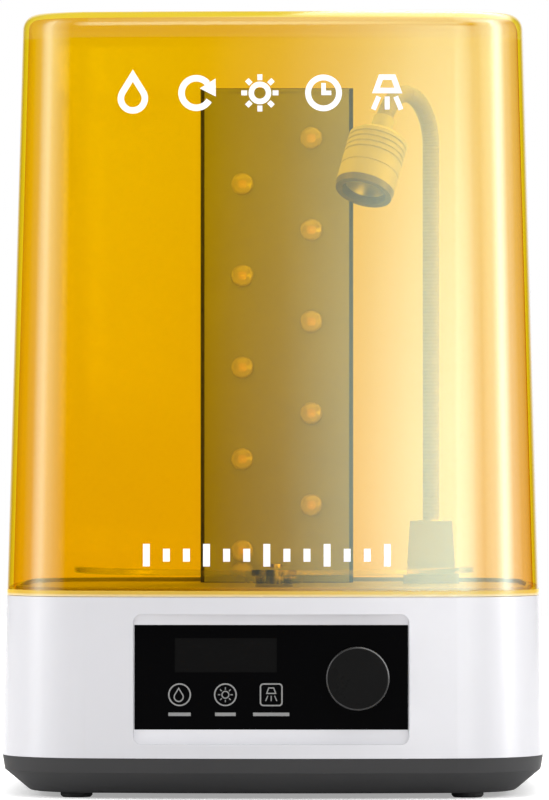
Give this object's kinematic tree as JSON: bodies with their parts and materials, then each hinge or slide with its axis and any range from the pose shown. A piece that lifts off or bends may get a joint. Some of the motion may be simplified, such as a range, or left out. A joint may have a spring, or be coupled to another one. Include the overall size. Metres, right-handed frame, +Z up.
{
  "type": "uv curing lamp",
  "caption": "Counter-top UV curing lamp: amber lift-off cover over a white base with control panel, turntable plate, light tower and gooseneck lamp.",
  "frame": {"origin": "on the floor, under the middle of the base", "axes": "+Z up, -Y to the front with the control panel, +X to the right seen from the front"},
  "size_m": [0.257, 0.238, 0.367],
  "materials": {
    "white_plastic": "satin gloss",
    "tray_grey": "fine texture",
    "deck_white": "fine texture",
    "panel_black": "gloss",
    "window_smoke": "smoked",
    "knob_black": "satin",
    "foot_rubber": "matte",
    "amber_cover": "transparent amber, polished",
    "clear_acrylic": "clear",
    "lens_clear": "clear",
    "screw_steel": "zinc plated",
    "pin_steel": "turned",
    "motor_steel": "brushed",
    "lamp_aluminium": "satin anodised",
    "neck_metal": "satin",
    "sink_aluminium": "extruded",
    "tower_black": "satin black",
    "tower_grey": "satin grey",
    "socket_grey": "fine texture",
    "socket_black": "fine texture",
    "board_green": "solder mask",
    "board_white": "white solder mask",
    "dome_clear": "clear moulded silicone",
    "chip_black": "moulded",
    "led_yellow": "clear resin over a chip",
    "magnet_nickel": "nickel plated",
    "bezel_black": "satin",
    "reflector_chrome": "mirror"
  },
  "bodies": {
    "base": {"lower_tray": "tray_grey", "rubber_feet": "foot_rubber", "tray_screws": "screw_steel", "upper_housing": "white_plastic", "deck": "deck_white", "deck_screws": "screw_steel", "control_panel": "panel_black", "display_window": "window_smoke", "display_module": "chip_black", "panel_board": "board_green", "mode_leds": "led_yellow", "panel_standoffs": "white_plastic", "panel_screws": "screw_steel", "encoder_body": "motor_steel", "encoder_nut": "screw_steel", "main_board": "board_green", "main_board_parts": "chip_black", "board_screws": "screw_steel", "drive_motor": "motor_steel", "motor_bracket": "sink_aluminium", "motor_screws": "screw_steel", "pivot_pin": "pin_steel", "power_jack": "socket_black", "power_switch_body": "socket_black", "tower_housing": "tower_black", "tower_front_panel": "tower_grey", "led_board": "board_white", "led_packages": "led_yellow", "led_lenses": "dome_clear", "led_heatsink": "sink_aluminium", "tower_screws": "screw_steel", "socket_screws": "screw_steel", "cover_sensor": "chip_black", "lamp_socket": "socket_grey"},
    "cover": {"uv_cover": "amber_cover", "cover_magnet": "magnet_nickel"},
    "turntable": {"turntable_hub": "clear_acrylic", "hub_magnets": "magnet_nickel"},
    "platter": {"platter": "clear_acrylic"},
    "drive_rotor": {"motor_shaft": "pin_steel", "magnet_carrier": "socket_black", "drive_magnets": "magnet_nickel"},
    "encoder_rotor": {"encoder_rotor": "chip_black"},
    "knob": {"encoder_shaft": "motor_steel", "control_knob": "knob_black"},
    "rocker": {"power_rocker": "chip_black"},
    "neck_stem": {"neck_ferrule": "screw_steel", "neck_stem": "neck_metal"},
    "neck_1": {"neck_link_1": "neck_metal"},
    "neck_2": {"neck_link_2": "neck_metal"},
    "neck_3": {"neck_link_3": "neck_metal"},
    "neck_4": {"neck_link_4": "neck_metal"},
    "lamp": {"neck_link_5": "neck_metal", "lamp_collar": "lamp_aluminium", "lamp_body": "lamp_aluminium", "lamp_bezel": "bezel_black", "lamp_lens": "lens_clear", "lamp_reflector": "reflector_chrome", "lamp_board": "sink_aluminium", "lamp_chip": "led_yellow"}
  },
  "joints": [
    {"name": "cover_lift", "type": "slide", "parent": "base", "child": "cover", "axis": [0, 0, 1], "range_m": [0, 0.27]},
    {"name": "turntable_spin", "type": "hinge", "parent": "base", "child": "turntable", "pos_m": [0, -0.0145, 0.1], "axis": [0, 0, 1], "continuous": true},
    {"name": "platter_lift", "type": "slide", "parent": "turntable", "child": "platter", "axis": [0, 0, 1], "range_m": [0, 0.03]},
    {"name": "rotor_spin", "type": "hinge", "parent": "base", "child": "drive_rotor", "pos_m": [0, -0.0145, 0.085], "axis": [0, 0, 1], "continuous": true},
    {"name": "knob_turn", "type": "hinge", "parent": "base", "child": "encoder_rotor", "pos_m": [0.04025, -0.103, 0.0565], "axis": [0, -1, 0], "continuous": true},
    {"name": "knob_push", "type": "slide", "parent": "encoder_rotor", "child": "knob", "axis": [0, 1, 0], "range_m": [0, 0.0007], "stiffness_N_per_m": 3000},
    {"name": "power_switch", "type": "hinge", "parent": "base", "child": "rocker", "pos_m": [-0.015, 0.1148, 0.048], "axis": [0, 0, 1], "range_deg": [0, 18]},
    {"name": "lamp_swivel", "type": "hinge", "parent": "base", "child": "neck_stem", "pos_m": [0.0755, 0.074, 0.12], "axis": [0, 0, 1], "range_deg": [-40, 30]},
    {"name": "neck_bend_1", "type": "hinge", "parent": "neck_stem", "child": "neck_1", "pos_m": [0.0755, 0.074, 0.3098], "axis": [0.8729, -0.4879, 0], "range_deg": [-8, 2]},
    {"name": "neck_bend_2", "type": "hinge", "parent": "neck_1", "child": "neck_2", "pos_m": [0.07386, 0.07106, 0.32234], "axis": [0.8729, -0.4879, 0], "range_deg": [-8, 2]},
    {"name": "neck_bend_3", "type": "hinge", "parent": "neck_2", "child": "neck_3", "pos_m": [0.06936, 0.06302, 0.33149], "axis": [0.8729, -0.4879, 0], "range_deg": [-8, 2]},
    {"name": "neck_bend_4", "type": "hinge", "parent": "neck_3", "child": "neck_4", "pos_m": [0.06324, 0.05206, 0.3348], "axis": [0.8729, -0.4879, 0], "range_deg": [-8, 2]},
    {"name": "neck_bend_5", "type": "hinge", "parent": "neck_4", "child": "lamp", "pos_m": [0.05713, 0.04113, 0.33136], "axis": [0.8729, -0.4879, 0], "range_deg": [-8, 2]}
  ],
  "couplings": [
    {"joint": "rotor_spin", "follows": "turntable_spin", "ratio": 1},
    {"joint": "neck_bend_2", "follows": "neck_bend_1", "ratio": 1},
    {"joint": "neck_bend_3", "follows": "neck_bend_1", "ratio": 1},
    {"joint": "neck_bend_4", "follows": "neck_bend_1", "ratio": 1},
    {"joint": "neck_bend_5", "follows": "neck_bend_1", "ratio": 1}
  ]
}
